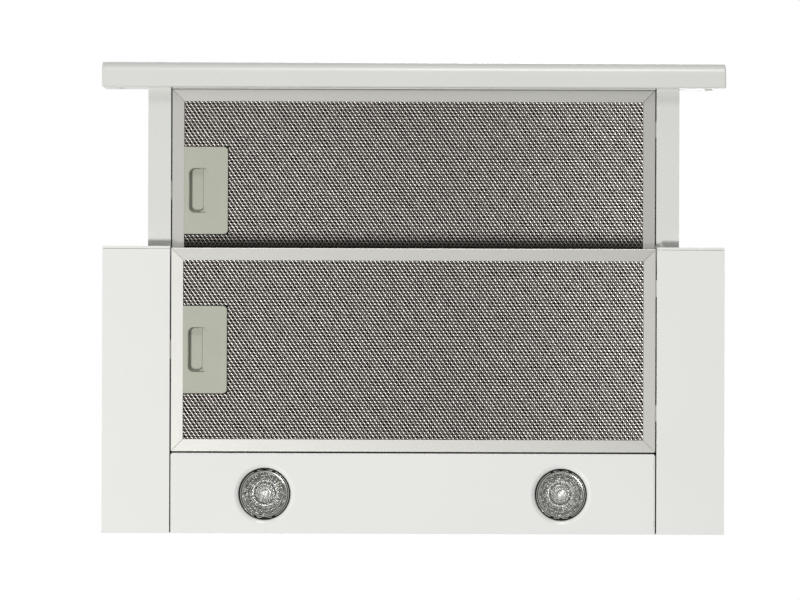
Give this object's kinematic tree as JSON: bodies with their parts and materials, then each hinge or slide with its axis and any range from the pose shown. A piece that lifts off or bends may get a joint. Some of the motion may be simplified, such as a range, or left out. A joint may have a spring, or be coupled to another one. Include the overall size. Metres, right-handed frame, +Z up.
{
  "type": "pull-out range hood",
  "caption": "White built-in cooker hood with a drawer that pulls out on ball slides, lift-out metal grease filters with sprung latches, lamps in the underside and a round duct outlet.",
  "frame": {"origin": "middle of the wall face at the level of the underside", "axes": "+Z up, +Y towards the wall, front looks along -Y, +X to the right seen from the front"},
  "size_m": [0.6, 0.4535, 0.197],
  "materials": {
    "white_enamel": "smooth white powder coat, semi-gloss",
    "housing_steel": "light grey coated sheet",
    "zinc_steel": "bright zinc plate",
    "black_plastic": "fine grain",
    "ring_chrome": "satin chrome",
    "bulb_glass": "clear front glass over a faceted mirror",
    "holder_ceramic": "glazed",
    "motor_paint": "dipped",
    "bearing_bronze": "oil-filled",
    "capacitor_plastic": "smooth",
    "bumper_rubber": "soft",
    "frame_aluminium": "brushed",
    "net_aluminium": "expanded sheet",
    "core_mesh": "layered aluminium mesh",
    "grip_plastic": "grey-green moulded plastic"
  },
  "bodies": {
    "chassis": {"left_side_panel": "white_enamel", "right_side_panel": "white_enamel", "left_wall": "housing_steel", "right_wall": "housing_steel", "rear_wall": "housing_steel", "front_wall": "housing_steel", "top_cover": "housing_steel", "fascia": "white_enamel", "switch_block": "black_plastic", "left_slide_rail": "zinc_steel", "right_slide_rail": "zinc_steel", "lamp_panel": "white_enamel", "lamp_box": "housing_steel", "lamp_rings": "ring_chrome", "left_bulb": "bulb_glass", "right_bulb": "bulb_glass", "lamp_holders": "holder_ceramic", "outlet_collar": "black_plastic", "flap_seat": "black_plastic", "scroll_wrap": "zinc_steel", "scroll_plates": "zinc_steel", "motor": "motor_paint", "motor_bracket": "housing_steel", "shaft_bearings": "bearing_bronze", "capacitor": "capacitor_plastic", "terminal_box": "black_plastic", "drawer_switch": "black_plastic", "housing_screws": "zinc_steel"},
    "drawer": {"front_bar": "white_enamel", "left_bar_cap": "white_enamel", "right_bar_cap": "white_enamel", "drawer_deck": "white_enamel", "left_drawer_side": "white_enamel", "right_drawer_side": "white_enamel", "drawer_rear_rail": "housing_steel", "left_slide_runner": "zinc_steel", "right_slide_runner": "zinc_steel", "bar_screws": "zinc_steel", "bar_bumpers": "bumper_rubber"},
    "left_cage": {"left_ball_cage": "zinc_steel"},
    "right_cage": {"right_ball_cage": "zinc_steel"},
    "main_filter": {"main_filter_frame": "frame_aluminium", "main_filter_net": "net_aluminium", "main_filter_core": "core_mesh", "main_latch_plate": "grip_plastic", "main_latch_spring": "zinc_steel"},
    "main_latch": {"main_latch_slide": "grip_plastic"},
    "front_filter": {"front_filter_frame": "frame_aluminium", "front_filter_net": "net_aluminium", "front_filter_core": "core_mesh", "front_latch_plate": "grip_plastic", "front_latch_spring": "zinc_steel"},
    "front_latch": {"front_latch_slide": "grip_plastic"},
    "fan": {"motor_shaft": "zinc_steel", "left_impeller": "capacitor_plastic", "right_impeller": "capacitor_plastic"},
    "left_flap": {"left_flap": "frame_aluminium"},
    "right_flap": {"right_flap": "frame_aluminium"},
    "speed_control": {"speed_slider": "black_plastic"},
    "light_control": {"light_slider": "black_plastic"}
  },
  "joints": [
    {"name": "drawer_slide", "type": "slide", "parent": "chassis", "child": "drawer", "axis": [0, 1, 0], "range_m": [0, 0.152]},
    {"name": "left_cage_slide", "type": "slide", "parent": "chassis", "child": "left_cage", "axis": [0, 1, 0], "range_m": [0, 0.076]},
    {"name": "right_cage_slide", "type": "slide", "parent": "chassis", "child": "right_cage", "axis": [0, 1, 0], "range_m": [0, 0.076]},
    {"name": "main_filter_tilt", "type": "hinge", "parent": "chassis", "child": "main_filter", "pos_m": [0.234, -0.1765, 0.001], "axis": [0, -1, 0], "range_deg": [0, 30]},
    {"name": "front_filter_tilt", "type": "hinge", "parent": "drawer", "child": "front_filter", "pos_m": [0.234, -0.3299, 0.013], "axis": [0, -1, 0], "range_deg": [0, 30]},
    {"name": "main_latch_pull", "type": "slide", "parent": "main_filter", "child": "main_latch", "axis": [1, 0, 0], "range_m": [0, 0.005], "stiffness_N_per_m": 300, "springref_m": -0.004},
    {"name": "front_latch_pull", "type": "slide", "parent": "front_filter", "child": "front_latch", "axis": [1, 0, 0], "range_m": [0, 0.005], "stiffness_N_per_m": 300, "springref_m": -0.004},
    {"name": "fan_spin", "type": "hinge", "parent": "chassis", "child": "fan", "pos_m": [0, -0.15, 0.106], "axis": [1, 0, 0], "continuous": true},
    {"name": "left_flap_swing", "type": "hinge", "parent": "chassis", "child": "left_flap", "pos_m": [0, -0.152, 0.182], "axis": [0, 1, 0], "range_deg": [0, 75]},
    {"name": "right_flap_swing", "type": "hinge", "parent": "chassis", "child": "right_flap", "pos_m": [0, -0.152, 0.182], "axis": [0, -1, 0], "range_deg": [0, 75]},
    {"name": "speed_control_slide", "type": "slide", "parent": "chassis", "child": "speed_control", "axis": [1, 0, 0], "range_m": [0, 0.024]},
    {"name": "light_control_slide", "type": "slide", "parent": "chassis", "child": "light_control", "axis": [1, 0, 0], "range_m": [0, 0.01]}
  ],
  "couplings": [
    {"joint": "left_cage_slide", "follows": "drawer_slide", "ratio": 0.5},
    {"joint": "right_cage_slide", "follows": "drawer_slide", "ratio": 0.5},
    {"joint": "front_filter_tilt", "follows": "main_filter_tilt", "ratio": 1}
  ]
}
